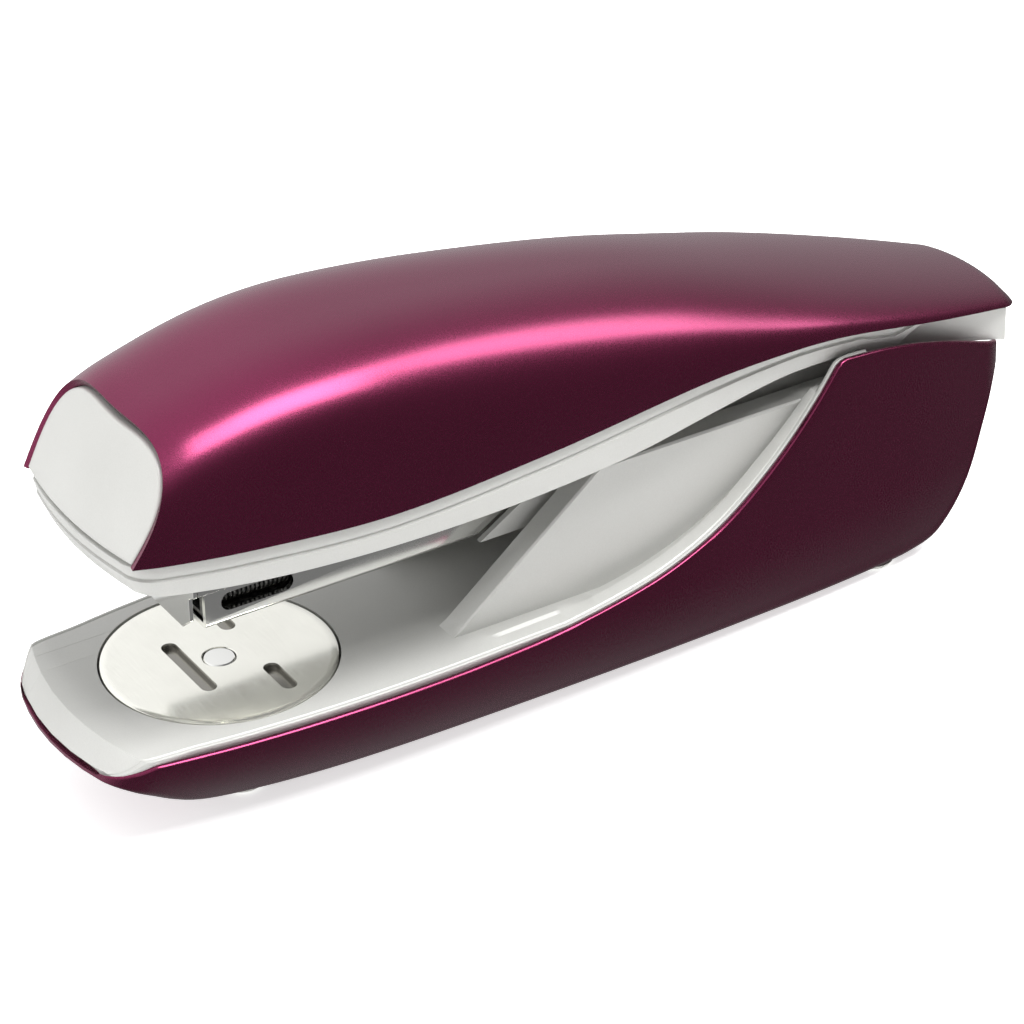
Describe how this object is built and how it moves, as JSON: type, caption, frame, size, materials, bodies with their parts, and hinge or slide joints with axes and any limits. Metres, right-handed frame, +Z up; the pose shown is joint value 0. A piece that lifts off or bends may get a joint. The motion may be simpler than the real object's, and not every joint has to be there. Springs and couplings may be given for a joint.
{
  "type": "desktop stapler",
  "caption": "Desktop stapler with a domed metal handle over a grey skirt, a swept metal base with a soft-coloured deck, a turning anvil and a sprung staple magazine on one hinge pin.",
  "frame": {"origin": "Middle of the overall footprint, on the table under the feet.", "axes": "+Z up, +Y from the nose with the anvil to the hinge end, +X the width."},
  "size_m": [0.0426, 0.1556, 0.0649],
  "materials": {
    "painted_metal": "metallic maroon paint with a satin sheen",
    "grey_plastic": "fine satin",
    "bright_steel": "polished nickel",
    "spring_steel": "drawn wire and strip",
    "rubber": "soft light grey"
  },
  "bodies": {
    "base": {"base_shell": "painted_metal", "base_inlay": "grey_plastic", "anvil_seat": "grey_plastic", "chassis": "bright_steel", "pivot_pin": "bright_steel", "pin_clip_left": "spring_steel", "pin_clip_right": "spring_steel", "base_screw": "bright_steel", "foot_front_left": "rubber", "foot_front_right": "rubber", "foot_rear_left": "rubber", "foot_rear_right": "rubber", "anvil_rivet": "bright_steel", "anvil_spring": "spring_steel", "lift_spring": "spring_steel"},
    "anvil": {"anvil_disc": "bright_steel"},
    "magazine": {"magazine_channel": "bright_steel", "staple_rail": "bright_steel", "front_plate": "bright_steel", "magazine_carrier": "grey_plastic", "spring_anchor": "bright_steel", "pusher_spring": "spring_steel", "return_spring": "spring_steel"},
    "pusher": {"pusher": "bright_steel"},
    "handle": {"top_cover": "painted_metal", "front_panel": "grey_plastic", "handle_frame": "grey_plastic", "driver_arm": "bright_steel", "driver_blade": "bright_steel", "blade_rivet": "bright_steel", "frame_screw_front": "bright_steel", "frame_screw_rear": "bright_steel"}
  },
  "joints": [
    {"name": "anvil_turn", "type": "hinge", "parent": "base", "child": "anvil", "pos_m": [0, -0.0516, 0.016], "axis": [0, 0, 1], "range_deg": [0, 180]},
    {"name": "magazine_pivot", "type": "hinge", "parent": "base", "child": "magazine", "pos_m": [0, 0.0604, 0.026], "axis": [1, 0, 0], "range_deg": [0, 4.7], "stiffness_Nm_per_rad": 2.5, "springref_deg": -3.44, "deforming": ["lift_spring"]},
    {"name": "handle_pivot", "type": "hinge", "parent": "magazine", "child": "handle", "pos_m": [0, 0.0604, 0.026], "axis": [1, 0, 0], "range_deg": [-65, 3.4], "stiffness_Nm_per_rad": 0.4, "springref_deg": -5.16},
    {"name": "pusher_slide", "type": "slide", "parent": "magazine", "child": "pusher", "axis": [0, 1, 0], "range_m": [0, 0.052], "stiffness_N_per_m": 40, "springref_m": -0.03, "deforming": ["pusher_spring"]}
  ]
}
